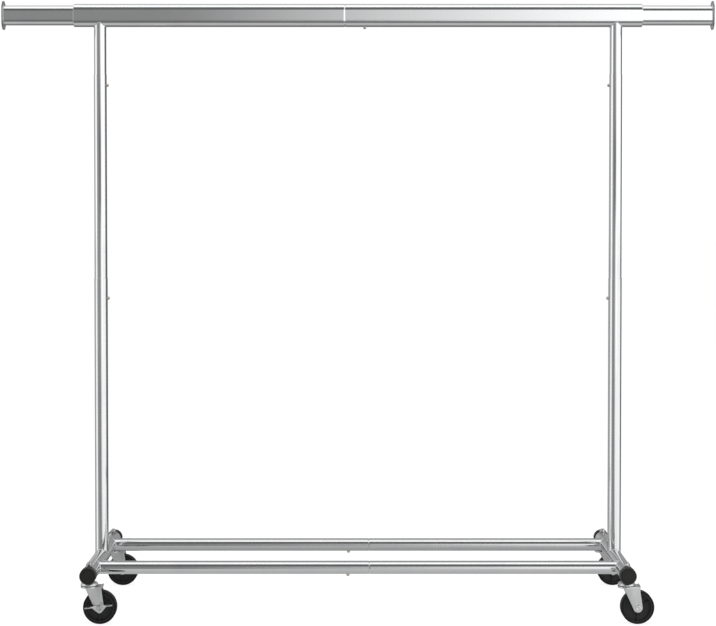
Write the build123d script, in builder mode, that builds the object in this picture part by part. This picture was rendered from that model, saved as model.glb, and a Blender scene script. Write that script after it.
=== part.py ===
"""Rolling garment rack: an H-shaped base on four swivel casters, two three-piece uprights,
and a tall oval hanging bar with a pull-out extension at each end."""
import os
from math import cos, radians, sin, sqrt

from build123d import *

os.makedirs("parts", exist_ok=True)

# Millimetres. X runs along the bar, Y from front to back, Z up from the floor.
# The origin is on the floor, under the middle of the rack.

# Overall sizes
base_span = 1287.0  # between the centres of the two side tubes
base_depth = 465.0  # over the end caps
rail_spacing = 266.0  # between the centres of the two base rails
caster_spacing = 400.0  # between the two stems in one side tube
lower_length = 679.5  # side tube's top to the lower seam
middle_length = 509.0  # lower seam to the upper seam
stub_length = 118.0  # upper seam to the underside of the bar
bar_overhang = 65.0  # bar's mouth beyond the upright's centre
extension_reach = 176.5  # bar's mouth to the end plate's outer face, pulled out

# Tubes
side_tube_od = 37.0
side_tube_wall = 1.2
rail_od = 32.0
rail_wall = 1.0
upright_od = 33.3  # lower upright; the middle one and the stub nest inside it
upright_wall = 0.6
slip_fit = 0.05  # radial gap between nested tubes
bar_height = 57.8  # the bar and its extensions are flat-oval tubes: flat faces, half-round edges
bar_depth = 33.0
bar_wall = 1.0
extension_height = bar_height - 8.2
extension_depth = bar_depth - 4.0
extension_wall = 1.0
extension_overlap = 120.0  # extension tube left inside the bar when pulled out

# Joints between tubes: how far the inner tube enters, and the button's distance from the seam
lower_insert = 100.0
lower_button_setback = 50.0
upper_insert = 60.0
upper_button_setback = 27.0
rail_seam_x = 26.4
rail_insert = 100.0
rail_button_setback = 50.9
bar_seam_x = -31.4
bar_insert = 92.0
bar_button_setback = 48.1
neck_taper = 3.0  # length of the shoulder where a rail's end is swaged down
bar_neck_taper = 4.0

# Snap buttons and their V-shaped leaf springs
button_d = 8.0
button_out = 5.2  # how far the dome stands out of the outer tube
button_dome = 3.2
button_flange_d = 10.4
button_flange = 1.2
button_gap = 0.3  # around the button in its holes, and under its flange
clip_width = 8.0
clip_thickness = 0.8
clip_length = 36.0
clip_tail = 8.0
clip_bend = 3.0

# Bar mouths, extension glides and end plates
lip_length = 1.5
lip_gap = 0.3
glide_gap = 0.3
stop_collar_length = 10.0
glide_plug_length = 20.0
plate_height = 72.0
plate_depth = 48.5
plate_corner = 21.0
plate_thickness = 2.0
plate_edge = 0.6

# Base fittings
cap_wall = 1.3
cap_length = 21.0
cap_end = 2.0
cap_edge = 1.8
foot_bolt_d = 8.0
foot_bolt_head_flats = 13.0
foot_bolt_head = 5.3
foot_insert_height = 25.0
foot_insert_gap = 3.0
bolt_hole_gap = 0.25

# Casters
wheel_d = 80.0
wheel_width = 22.0
caster_height = 101.0  # floor to the underside of the side tube
caster_trail = 25.5  # stem to axle
stem_d = 10.0
stem_tip = 2.5
nut_flats = 14.0
nut_height = 5.5
cup_d = 42.0
cup_height = 8.2
cup_shoulder = 6.0
cup_hub_d = 20.0
cup_hub = cap_wall + 0.5  # lifts the tube clear of the cup, so that the end cap passes over it
race_gap = 2.0  # between the cup and the fork's crown
ball_d = 5.0
ball_circle_d = 30.0
ball_count = 12
running_fit = 0.05
crown_thickness = 4.0  # over its turned-down rim
crown_overhang = 6.5  # crown's trailing edge, beyond the axle
crown_lip = 1.5
rivet_head_d = 16.0
rivet_head = 2.0
fork_inside = 26.0
leg_thickness = 2.5
leg_end_d = 22.0
leg_lead = 8.0  # leg's top edge, ahead of the stem
leg_trail = 29.5  # leg's top edge, behind the stem
axle_d = 8.0
axle_head_d = 12.5
axle_head = 2.0
axle_dimple_d = 4.5
axle_dimple = 1.2
tread_thickness = 5.2
tread_edge = 2.0
hub_d = 24.0
hub_length = 25.4
web_thickness = 12.0
rim_wall = 3.0
rib_thickness = 3.0
rib_count = 3
rib_start = 30.0  # degrees
rib_depth_share = 0.7  # of the pocket's depth

# Brake lever: a rocker plate across the axle, with a foot wing at each end
lever_thickness = 2.0
lever_gap = 0.3
lever_half_length = 33.0
lever_reach = 13.5  # how far the wings stand out from the plate
lever_neck_half = axle_head_d / 2 + 1.5  # the wings part around the axle's head
lever_body_half = 20.0
lever_body_drop = 12.0
lever_body_end_r = 7.0
lever_root = 4.5  # wing's inner corners at its tip, out from the plate
lever_wing_height = 6.5  # wing's top, above the axle
lever_tilt = 6.5
lever_horn_height = 11.5
lever_horn_width = 7.0

# Places worked out from the sizes above
half_span = base_span / 2
half_depth = base_depth / 2
side_r = side_tube_od / 2
base_z = caster_height + side_r
side_top = base_z + side_r
lower_seam = side_top + lower_length
upper_seam = lower_seam + middle_length
bar_bottom = upper_seam + stub_length
bar_z = bar_bottom + bar_height / 2
mouth_x = half_span + bar_overhang
plate_x = mouth_x + extension_reach
nest_step = 2 * (upright_wall + slip_fit)
middle_od = upright_od - nest_step
stub_od = middle_od - nest_step
rail_neck_od = rail_od - 2 * (rail_wall + slip_fit)
bar_neck_step = 2 * (bar_wall + slip_fit)
crown_top = caster_height - cup_height - race_gap
crown_bottom = crown_top - crown_thickness
crown_reach = caster_trail + crown_overhang
axle_z = wheel_d / 2
leg_outer = fork_inside / 2 + leg_thickness
sides = {"left": -1, "right": 1}
corners = {
    "front_left": (-1, -1),
    "front_right": (1, -1),
    "rear_left": (-1, 1),
    "rear_right": (1, 1),
}
braked = ("front_left", "rear_right")


def save(piece, name):
    piece.part.label = name
    export_step(piece.part, f"parts/{name}.step")


# Snap joints: the button's station on the tubes' axis, the way it points, the way its spring
# lies inside the inner tube, the outer tube's surface, and the inner tube's inside surface.
def snap(at, out, along, surface, inside, curve):
    return {
        "plane": Plane(origin=at, x_dir=along, z_dir=out),
        "profile": Plane(origin=at, x_dir=along, z_dir=Vector(*along).cross(Vector(*out))),
        "surface": surface,
        "inside": inside,
        "curve": curve,
    }


snaps = {}
for side, sign in sides.items():
    snaps[f"lower_{side}"] = snap(
        (sign * half_span, 0, lower_seam - lower_button_setback),
        (-sign, 0, 0),
        (0, 0, 1),
        upright_od / 2,
        middle_od / 2 - upright_wall,
        middle_od / 2 - upright_wall,
    )
    snaps[f"upper_{side}"] = snap(
        (sign * half_span, 0, upper_seam - upper_button_setback),
        (-sign, 0, 0),
        (0, 0, 1),
        middle_od / 2,
        stub_od / 2 - upright_wall,
        stub_od / 2 - upright_wall,
    )
for row, sign in (("front", -1), ("rear", 1)):
    snaps[f"{row}_rail"] = snap(
        (rail_seam_x - rail_button_setback, sign * rail_spacing / 2, base_z),
        (0, 0, -1),
        (1, 0, 0),
        rail_od / 2,
        rail_neck_od / 2 - rail_wall,
        rail_neck_od / 2 - rail_wall,
    )
snaps["bar"] = snap(
    (bar_seam_x + bar_button_setback, 0, bar_z),
    (0, 0, -1),
    (-1, 0, 0),
    bar_height / 2,
    (bar_height - bar_neck_step) / 2 - bar_wall,
    (bar_depth - bar_neck_step) / 2 - bar_wall,
)


def cut_button_hole(joint):
    with BuildSketch(joint["plane"]) as hole:
        Circle(button_d / 2 + button_gap)
    extrude(hole.sketch, amount=joint["surface"] + button_out, mode=Mode.SUBTRACT)


def button_seat(joint):
    # The flange's rim stays clear of the curved wall that it rests under.
    room = joint["curve"] - button_gap
    return joint["inside"] - joint["curve"] + sqrt(room**2 - (button_flange_d / 2) ** 2)


def cylinder_along_y(x, z, radius, start, end, mode=Mode.ADD):
    with BuildSketch(Plane.XZ.offset(-start)) as section:
        with Locations((x, z)):
            Circle(radius)
    extrude(section.sketch, amount=start - end, mode=mode)


def cylinder_along_z(x, y, radius, start, end, mode=Mode.ADD):
    with BuildSketch(Plane.XY.offset(start)) as section:
        with Locations((x, y)):
            Circle(radius)
    extrude(section.sketch, amount=end - start, mode=mode)


def cylinder_along_x(y, z, radius, start, end, mode=Mode.ADD):
    with BuildSketch(Plane.YZ.offset(start)) as section:
        with Locations((y, z)):
            Circle(radius)
    extrude(section.sketch, amount=end - start, mode=mode)


def flat_oval(x, height, depth):
    with BuildSketch(Plane.YZ.offset(x)) as section:
        with Locations((0, bar_z)):
            SlotOverall(height, depth, rotation=90)
    return section.sketch


def oval_along_x(height, depth, start, end, mode=Mode.ADD):
    extrude(flat_oval(start, height, depth), amount=end - start, mode=mode)


def oval_taper(start, first, end, last, mode=Mode.ADD):
    # From one section's height and depth at start to another's at end.
    loft([flat_oval(start, *first), flat_oval(end, *last)], mode=mode)


def bar_section(inset):
    return bar_height - 2 * inset, bar_depth - 2 * inset


# Base: two side tubes, drilled for the caster stems and for the bolt under each upright.
for side, sign in sides.items():
    with BuildPart() as side_tube:
        half_tube = half_depth - cap_end
        cylinder_along_y(sign * half_span, base_z, side_r, -half_tube, half_tube)
        cylinder_along_y(
            sign * half_span, base_z, side_r - side_tube_wall, -half_tube, half_tube, Mode.SUBTRACT
        )
        drill = (
            (-caster_spacing / 2, stem_d / 2),
            (0, foot_bolt_d / 2),
            (caster_spacing / 2, stem_d / 2),
        )
        for y, radius in drill:
            cylinder_along_z(
                sign * half_span, y, radius + bolt_hole_gap, caster_height - 1, side_top + 1,
                Mode.SUBTRACT,
            )
    save(side_tube, f"side_tube_{side}")

# End caps: plastic cups pulled over the ends of the side tubes.
for corner, (sx, sy) in corners.items():
    with BuildPart() as end_cap:
        face_y = sy * half_depth
        inner_y = sy * (half_depth - cap_length)
        cylinder_along_y(sx * half_span, base_z, side_r + cap_wall, inner_y, face_y)
        fillet(end_cap.edges().filter_by(GeomType.CIRCLE).sort_by(Axis.Y)[-1 if sy > 0 else 0], cap_edge)
        cylinder_along_y(
            sx * half_span, base_z, side_r, inner_y, face_y - sy * cap_end, Mode.SUBTRACT
        )
    save(end_cap, f"end_cap_{corner}")

# Base rails: the left half is the outer tube at the seam, the right half is necked to enter it.
# Their far ends are coped to the side tubes, where they are welded.
for row, sign in (("front", -1), ("rear", 1)):
    y = sign * rail_spacing / 2
    joint = snaps[f"{row}_rail"]
    with BuildPart() as rail_left:
        cylinder_along_x(y, base_z, rail_od / 2, -half_span, rail_seam_x)
        cylinder_along_x(y, base_z, rail_od / 2 - rail_wall, -half_span, rail_seam_x, Mode.SUBTRACT)
        cylinder_along_y(-half_span, base_z, side_r, -half_depth, half_depth, Mode.SUBTRACT)
        cut_button_hole(joint)
    save(rail_left, f"{row}_rail_left")

    with BuildPart() as rail_right:
        shoulder = rail_seam_x + neck_taper
        neck_r = rail_neck_od / 2
        neck_end = rail_seam_x - rail_insert
        with BuildSketch(Plane.XZ.offset(-y)):
            with BuildLine():
                Polyline(
                    (half_span, base_z + rail_od / 2),
                    (shoulder, base_z + rail_od / 2),
                    (rail_seam_x, base_z + neck_r),
                    (neck_end, base_z + neck_r),
                    (neck_end, base_z + neck_r - rail_wall),
                    (rail_seam_x, base_z + neck_r - rail_wall),
                    (shoulder, base_z + rail_od / 2 - rail_wall),
                    (half_span, base_z + rail_od / 2 - rail_wall),
                    close=True,
                )
            make_face()
        revolve(axis=Axis((0, y, base_z), (1, 0, 0)))
        cylinder_along_y(half_span, base_z, side_r, -half_depth, half_depth, Mode.SUBTRACT)
        cut_button_hole(joint)
    save(rail_right, f"{row}_rail_right")

# Uprights: three nested tubes on each side. The lowest is coped to the side tube, the highest
# is coped to the underside of the bar.
for side, sign in sides.items():
    x = sign * half_span
    with BuildPart() as lower_upright:
        cylinder_along_z(x, 0, upright_od / 2, base_z, lower_seam)
        cylinder_along_z(x, 0, upright_od / 2 - upright_wall, base_z, lower_seam, Mode.SUBTRACT)
        cylinder_along_y(x, base_z, side_r, -half_depth, half_depth, Mode.SUBTRACT)
        cut_button_hole(snaps[f"lower_{side}"])
    save(lower_upright, f"lower_upright_{side}")

    with BuildPart() as middle_upright:
        low = lower_seam - lower_insert
        cylinder_along_z(x, 0, middle_od / 2, low, upper_seam)
        cylinder_along_z(x, 0, middle_od / 2 - upright_wall, low, upper_seam, Mode.SUBTRACT)
        cut_button_hole(snaps[f"lower_{side}"])
        cut_button_hole(snaps[f"upper_{side}"])
    save(middle_upright, f"middle_upright_{side}")

    with BuildPart() as top_stub:
        low = upper_seam - upper_insert
        cylinder_along_z(x, 0, stub_od / 2, low, bar_z)
        cylinder_along_z(x, 0, stub_od / 2 - upright_wall, low, bar_z, Mode.SUBTRACT)
        oval_along_x(bar_height, bar_depth, x - stub_od, x + stub_od, Mode.SUBTRACT)
        cut_button_hole(snaps[f"upper_{side}"])
    save(top_stub, f"top_stub_{side}")

# Foot fastening: a threaded plug in each lower upright, and a bolt up through the side tube.
plug_bottom = side_top + foot_insert_gap
plug_top = plug_bottom + foot_insert_height
with BuildPart() as foot_inserts:
    for sign in sides.values():
        x = sign * half_span
        cylinder_along_z(x, 0, upright_od / 2 - upright_wall - slip_fit, plug_bottom, plug_top)
        cylinder_along_z(x, 0, foot_bolt_d / 2, plug_bottom, plug_top, Mode.SUBTRACT)
save(foot_inserts, "foot_inserts")

with BuildPart() as foot_bolts:
    for sign in sides.values():
        x = sign * half_span
        cylinder_along_z(x, 0, foot_bolt_d / 2, caster_height, plug_top)
        with BuildSketch(Plane.XY.offset(caster_height - foot_bolt_head)):
            with Locations((x, 0)):
                RegularPolygon(foot_bolt_head_flats / 2, 6, major_radius=False)
        extrude(amount=foot_bolt_head)
save(foot_bolts, "foot_bolts")

# Hanging bar: the right half is the outer tube at the seam, the left half is necked to enter it.
# Each mouth is drawn in to a lip that holds the extension's stop collar.
lip_start = mouth_x - lip_length
lip_opening = (extension_height + 2 * lip_gap, extension_depth + 2 * lip_gap)
lip_section = (lip_opening[0] + 2 * bar_wall, lip_opening[1] + 2 * bar_wall)


def bar_half(outer_end, sign):
    # From the seam to the mouth, with the mouth's lip and the open inside.
    oval_along_x(bar_height, bar_depth, outer_end, sign * lip_start)
    oval_taper(sign * lip_start, bar_section(0), sign * mouth_x, lip_section)
    oval_along_x(*bar_section(bar_wall), outer_end, sign * (lip_start - bar_wall), Mode.SUBTRACT)
    oval_along_x(*lip_opening, sign * (lip_start - 2 * bar_wall), sign * (mouth_x + 1), Mode.SUBTRACT)


with BuildPart() as hanging_bar_right:
    bar_half(bar_seam_x, 1)
    cut_button_hole(snaps["bar"])
save(hanging_bar_right, "hanging_bar_right")

with BuildPart() as hanging_bar_left:
    shoulder = bar_seam_x - bar_neck_taper
    neck_end = bar_seam_x + bar_insert
    neck = bar_neck_step / 2
    bore = bar_section(neck + bar_wall)
    bar_half(shoulder, -1)
    oval_taper(shoulder, bar_section(0), bar_seam_x, bar_section(neck))
    oval_along_x(*bar_section(neck), bar_seam_x, neck_end)
    oval_taper(shoulder, bar_section(bar_wall), bar_seam_x, bore, Mode.SUBTRACT)
    oval_along_x(*bore, bar_seam_x, neck_end, Mode.SUBTRACT)
    cut_button_hole(snaps["bar"])
save(hanging_bar_left, "hanging_bar_left")

# Extensions: an oval tube, its end plate, and two plastic glides that run inside the bar.
extension_bore = (extension_height - 2 * extension_wall, extension_depth - 2 * extension_wall)
for side, sign in sides.items():
    tube_end = sign * (plate_x - plate_thickness)
    inner_end = sign * (mouth_x - extension_overlap)
    with BuildPart() as extension_tube:
        oval_along_x(extension_height, extension_depth, inner_end, tube_end)
        oval_along_x(*extension_bore, inner_end, tube_end, Mode.SUBTRACT)
    save(extension_tube, f"extension_tube_{side}")

    with BuildPart() as end_plate:
        with BuildSketch(Plane.YZ.offset(tube_end)):
            with Locations((0, bar_z)):
                RectangleRounded(plate_depth, plate_height, plate_corner)
        extrude(amount=sign * plate_thickness)
        rims = end_plate.faces().filter_by(Plane.YZ).edges()
        fillet(rims, plate_edge)
    save(end_plate, f"end_plate_{side}")

    with BuildPart() as glides:
        collar = bar_section(bar_wall + glide_gap)
        stop_end = sign * (lip_start - bar_wall - glide_gap)
        stop_start = stop_end - sign * stop_collar_length
        oval_along_x(*collar, stop_start, stop_end)
        oval_along_x(extension_height, extension_depth, stop_start, stop_end, Mode.SUBTRACT)
        oval_along_x(*collar, inner_end - sign * stop_collar_length, inner_end)
        oval_along_x(*extension_bore, inner_end, inner_end + sign * glide_plug_length)
    save(glides, f"extension_glides_{side}")

# Snap buttons: a domed peg on a round flange.
for name, joint in snaps.items():
    seat = button_seat(joint)
    with BuildPart() as snap_button:
        with BuildSketch(joint["plane"].offset(seat - button_flange)):
            Circle(button_flange_d / 2)
        extrude(amount=button_flange)
        with BuildSketch(joint["plane"].offset(seat)):
            Circle(button_d / 2)
        extrude(amount=joint["surface"] + button_out - seat)
        dome_edge = snap_button.edges().filter_by(GeomType.CIRCLE).sort_by(
            Axis(joint["plane"].origin, joint["plane"].z_dir)
        )[-1]
        fillet(dome_edge, button_dome)
    save(snap_button, f"snap_button_{name}")


def leaf_spring(joint):
    # One arm carries the button, the other bears on the far wall of the inner tube.
    arm = button_seat(joint) - button_flange - clip_thickness / 2
    half = clip_width / 2
    far = joint["inside"] - joint["curve"] + sqrt(joint["curve"] ** 2 - half**2)
    far = far - clip_thickness / 2 - slip_fit
    with BuildSketch(joint["profile"]) as strip:
        with BuildLine() as bend:
            FilletPolyline(
                (-clip_tail, arm), (clip_tail, arm), (clip_length, 0), (clip_tail, -far), radius=clip_bend
            )
        trace(bend.edges(), line_width=clip_thickness)
    extrude(strip.sketch, amount=half, both=True)


spring_groups = {
    "upright_springs": ("lower_left", "lower_right", "upper_left", "upper_right"),
    "rail_springs": ("front_rail", "rear_rail"),
    "bar_spring": ("bar",),
}
for group, members in spring_groups.items():
    with BuildPart() as springs:
        for name in members:
            leaf_spring(snaps[name])
    save(springs, group)

# Casters. Stems, nuts, cups and balls stay with the base; forks turn under them.
stations = [(sx * half_span, sy * caster_spacing / 2) for sx, sy in corners.values()]
ball_z = crown_top + race_gap / 2

with BuildPart() as caster_stems:
    for x, y in stations:
        rivet_top = crown_bottom - running_fit
        cylinder_along_z(x, y, rivet_head_d / 2, rivet_top - rivet_head, rivet_top)
        cylinder_along_z(x, y, stem_d / 2, rivet_top, side_top + nut_height + stem_tip)
save(caster_stems, "caster_stems")

with BuildPart() as caster_nuts:
    for x, y in stations:
        with BuildSketch(Plane.XY.offset(side_top)):
            with Locations((x, y)):
                RegularPolygon(nut_flats / 2, 6, major_radius=False)
        extrude(amount=nut_height)
        cylinder_along_z(x, y, stem_d / 2, side_top, side_top + nut_height, Mode.SUBTRACT)
save(caster_nuts, "caster_nuts")


def cut_race(x, y):
    with BuildSketch(Plane(origin=(x, y, ball_z), x_dir=(1, 0, 0), z_dir=(0, -1, 0))) as groove:
        with Locations((ball_circle_d / 2, 0)):
            Circle(ball_d / 2 + running_fit)
    revolve(groove.sketch, axis=Axis((x, y, ball_z), (0, 0, 1)), mode=Mode.SUBTRACT)


with BuildPart() as caster_cups:
    for x, y in stations:
        cup_r = cup_d / 2
        cup_bottom = caster_height - cup_height
        dome_top = caster_height - cup_hub
        with BuildSketch(Plane(origin=(x, y, 0), x_dir=(1, 0, 0), z_dir=(0, -1, 0))):
            with BuildLine():
                Polyline(
                    (cup_r - cup_shoulder, dome_top),
                    (cup_hub_d / 2, dome_top),
                    (cup_hub_d / 2, caster_height),
                    (stem_d / 2, caster_height),
                    (stem_d / 2, cup_bottom),
                    (cup_r, cup_bottom),
                    (cup_r, dome_top - cup_shoulder),
                )
                RadiusArc(
                    (cup_r - cup_shoulder, dome_top),
                    (cup_r, dome_top - cup_shoulder),
                    cup_shoulder,
                )
            make_face()
        revolve(axis=Axis((x, y, 0), (0, 0, 1)))
        cut_race(x, y)
save(caster_cups, "caster_cups")

with BuildPart() as bearing_balls:
    for x, y in stations:
        with Locations((x, y, ball_z)):
            with PolarLocations(ball_circle_d / 2, ball_count):
                Sphere(ball_d / 2)
save(bearing_balls, "bearing_balls")


def fork_leg(x, y, near):
    # A plate whose edges run straight from the crown to the round end at the axle.
    with BuildSketch(Plane.XZ.offset(-(y + near))) as outline:
        with Locations((x + caster_trail, axle_z)):
            Circle(leg_end_d / 2)
        with Locations((x + (leg_trail - leg_lead) / 2, crown_bottom + crown_thickness / 2)):
            Rectangle(leg_trail + leg_lead, crown_thickness)
        make_hull()
    extrude(outline.sketch, amount=leg_thickness)


for corner, (sx, sy) in corners.items():
    x = sx * half_span
    y = sy * caster_spacing / 2
    wheel_x = x + caster_trail
    has_brake = corner in braked

    with BuildPart() as fork:
        with BuildSketch(Plane.XY.offset(crown_bottom)):
            with Locations((x, y)):
                Circle(cup_d / 2)
            with Locations((x + crown_reach / 2, y)):
                Rectangle(crown_reach, 2 * leg_outer)
        extrude(amount=crown_thickness)
        with BuildSketch(Plane.XY.offset(crown_top)):
            with Locations((x + crown_reach - leg_thickness / 2, y)):
                Rectangle(leg_thickness, 2 * leg_outer)
        extrude(amount=crown_lip)
        fork_leg(x, y, -fork_inside / 2)
        fork_leg(x, y, leg_outer)
        cylinder_along_z(
            x, y, stem_d / 2 + running_fit, crown_bottom - 1, crown_top + 1, Mode.SUBTRACT
        )
        cut_race(x, y)
        cylinder_along_y(
            wheel_x, axle_z, axle_d / 2, y - leg_outer - 1, y + leg_outer + 1, Mode.SUBTRACT
        )
    save(fork, f"caster_fork_{corner}")

    # The axle is a rolled pin with a round head on each side; it also holds the brake lever.
    front_head = leg_outer + (lever_gap + lever_thickness + lever_gap if has_brake else 0)
    with BuildPart() as axle:
        cylinder_along_y(wheel_x, axle_z, axle_d / 2, y - front_head, y + leg_outer)
        for face, way in ((y - front_head, -1), (y + leg_outer, 1)):
            cylinder_along_y(wheel_x, axle_z, axle_head_d / 2, face, face + way * axle_head)
        ends = axle.faces().filter_by(Plane.XZ).sort_by(Axis.Y)
        fillet([ends[0].edges(), ends[-1].edges()], axle_head / 2)
        for face, way in ((y - front_head, -1), (y + leg_outer, 1)):
            tip = face + way * axle_head
            cylinder_along_y(
                wheel_x, axle_z, axle_dimple_d / 2, tip - way * axle_dimple, tip, Mode.SUBTRACT
            )
    save(axle, f"caster_axle_{corner}")

    # Wheel: hub, web and rim in one moulding, with ribs across each face's pocket.
    core_r = wheel_d / 2 - tread_thickness
    with BuildPart() as wheel:
        half_width = wheel_width / 2
        half_hub = hub_length / 2
        cylinder_along_y(wheel_x, axle_z, core_r, y - half_width, y + half_width)
        for way in (-1, 1):
            floor = y + way * web_thickness / 2
            cylinder_along_y(
                wheel_x, axle_z, core_r - rim_wall, floor, y + way * half_width, Mode.SUBTRACT
            )
            with BuildSketch(Plane.XZ.offset(-floor)):
                with Locations((wheel_x, axle_z)):
                    with PolarLocations(core_r / 2, rib_count, start_angle=rib_start):
                        Rectangle(core_r - rim_wall / 2, rib_thickness)
            extrude(amount=-way * (half_width - web_thickness / 2) * rib_depth_share)
        cylinder_along_y(wheel_x, axle_z, hub_d / 2, y - half_hub, y + half_hub)
        cylinder_along_y(
            wheel_x, axle_z, axle_d / 2 + running_fit, y - half_hub, y + half_hub, Mode.SUBTRACT
        )
    save(wheel, f"wheel_{corner}")

    with BuildPart() as tread:
        cylinder_along_y(wheel_x, axle_z, wheel_d / 2, y - half_width, y + half_width)
        fillet(tread.edges().filter_by(GeomType.CIRCLE), tread_edge)
        cylinder_along_y(wheel_x, axle_z, core_r, y - half_width, y + half_width, Mode.SUBTRACT)
    save(tread, f"tread_{corner}")

    if has_brake:
        # Built level about the axle on a plane that is tilted to the lever's resting angle.
        tilt = radians(lever_tilt)
        level = Plane(
            origin=(wheel_x, y - leg_outer - lever_gap, axle_z),
            x_dir=(cos(tilt), 0, sin(tilt)),
            z_dir=(0, -1, 0),
        )
        wing_plane = Plane(
            origin=level.from_local_coords((0, lever_wing_height, 0)),
            x_dir=level.x_dir,
            z_dir=-level.y_dir,
        )
        with BuildPart() as lever:
            with BuildSketch(level):
                with Locations((0, lever_body_end_r - lever_body_drop)):
                    Circle(lever_body_end_r)
                with Locations((0, lever_wing_height - lever_thickness / 2)):
                    Rectangle(2 * lever_body_half, lever_thickness)
                make_hull()
                with Locations((lever_horn_width, lever_horn_height / 2)):
                    Rectangle(lever_horn_width, lever_horn_height)
            extrude(amount=lever_thickness)
            with BuildSketch(wing_plane):
                with BuildLine():
                    Polyline(
                        (-lever_half_length, lever_reach),
                        (-lever_body_half, lever_reach),
                        (-lever_neck_half, lever_thickness),
                        (lever_neck_half, lever_thickness),
                        (lever_body_half, lever_reach),
                        (lever_half_length, lever_reach),
                        (lever_half_length, lever_root),
                        (lever_body_half, 0),
                        (-lever_body_half, 0),
                        (-lever_half_length, lever_root),
                        close=True,
                    )
                make_face()
            extrude(amount=lever_thickness)
            with BuildSketch(level):
                Circle(axle_d / 2 + running_fit)
            extrude(amount=lever_thickness, mode=Mode.SUBTRACT)
        save(lever, f"brake_lever_{corner}")
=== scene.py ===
import math

import bmesh
import bpy
from mathutils import Matrix, Vector


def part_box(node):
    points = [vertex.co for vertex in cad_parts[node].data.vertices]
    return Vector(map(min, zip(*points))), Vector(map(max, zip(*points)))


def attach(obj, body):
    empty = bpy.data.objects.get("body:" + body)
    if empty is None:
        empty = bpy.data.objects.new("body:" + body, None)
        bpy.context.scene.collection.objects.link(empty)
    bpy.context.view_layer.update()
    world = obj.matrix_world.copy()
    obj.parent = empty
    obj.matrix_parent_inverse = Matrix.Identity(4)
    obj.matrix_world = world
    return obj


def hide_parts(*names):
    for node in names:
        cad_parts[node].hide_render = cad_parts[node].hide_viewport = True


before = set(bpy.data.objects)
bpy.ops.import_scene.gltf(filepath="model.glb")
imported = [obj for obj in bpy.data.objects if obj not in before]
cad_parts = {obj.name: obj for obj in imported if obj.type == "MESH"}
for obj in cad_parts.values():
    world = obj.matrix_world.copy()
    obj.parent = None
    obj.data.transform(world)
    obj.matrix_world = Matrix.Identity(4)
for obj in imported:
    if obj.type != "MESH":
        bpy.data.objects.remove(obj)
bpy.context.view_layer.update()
print("frame loaded")

sides = {"left": -1, "right": 1}
corners = {"front_left": (-1, -1), "front_right": (1, -1), "rear_left": (-1, 1), "rear_right": (1, 1)}


def centreOf(node):
    low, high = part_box(node)
    return (low + high) / 2


# ---------- camera ----------
viewSet = {
    "height": 1.0405,  # eye height above the floor
    "distance": 4.250,  # eye to the plane of the bar
    "lens": 85.42,
    "shift": -0.115,  # looks down the rest of the way, so that other views keep the whole rack
    "tilt": 1.401,
}


def makeCamera():
    data = bpy.data.cameras.new("camera")
    data.sensor_fit = "HORIZONTAL"
    data.sensor_width = 36
    data.lens = viewSet["lens"]
    data.shift_y = viewSet["shift"]
    data.clip_end = 60
    eye = bpy.data.objects.new("camera", data)
    eye.location = (0, -viewSet["distance"], viewSet["height"])
    eye.rotation_euler = (math.radians(90 - viewSet["tilt"]), 0, 0)
    bpy.context.scene.collection.objects.link(eye)
    bpy.context.scene.camera = eye


makeCamera()
print("camera ready")


# ---------- materials ----------
def toLinear(hexCode):
    parts = [int(hexCode[i:i + 2], 16) / 255 for i in (1, 3, 5)]
    return tuple(c / 12.92 if c <= 0.04045 else ((c + 0.055) / 1.055) ** 2.4 for c in parts) + (1.0,)


def addNode(tree, kind, settings=None, inputs=None):
    # One node, with its settings, and its inputs given as values or as sockets to link from.
    node = tree.nodes.new(kind)
    for key, value in (settings or {}).items():
        setattr(node, key, value)
    for key, value in (inputs or {}).items():
        if isinstance(value, bpy.types.NodeSocket):
            tree.links.new(value, node.inputs[key])
        else:
            node.inputs[key].default_value = value
    return node


def startMaterial(name, shader):
    # A material with a Principled shader whose flat values are set on its own sockets.
    mat = bpy.data.materials.new(name)
    mat.use_nodes = True
    tree = mat.node_tree
    tree.nodes.clear()
    surface = addNode(tree, "ShaderNodeBsdfPrincipled", None, shader)
    addNode(tree, "ShaderNodeOutputMaterial", None, {"Surface": surface.outputs["BSDF"]})
    place = addNode(tree, "ShaderNodeTexCoord").outputs["Object"]
    return mat, tree, surface, place


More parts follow.
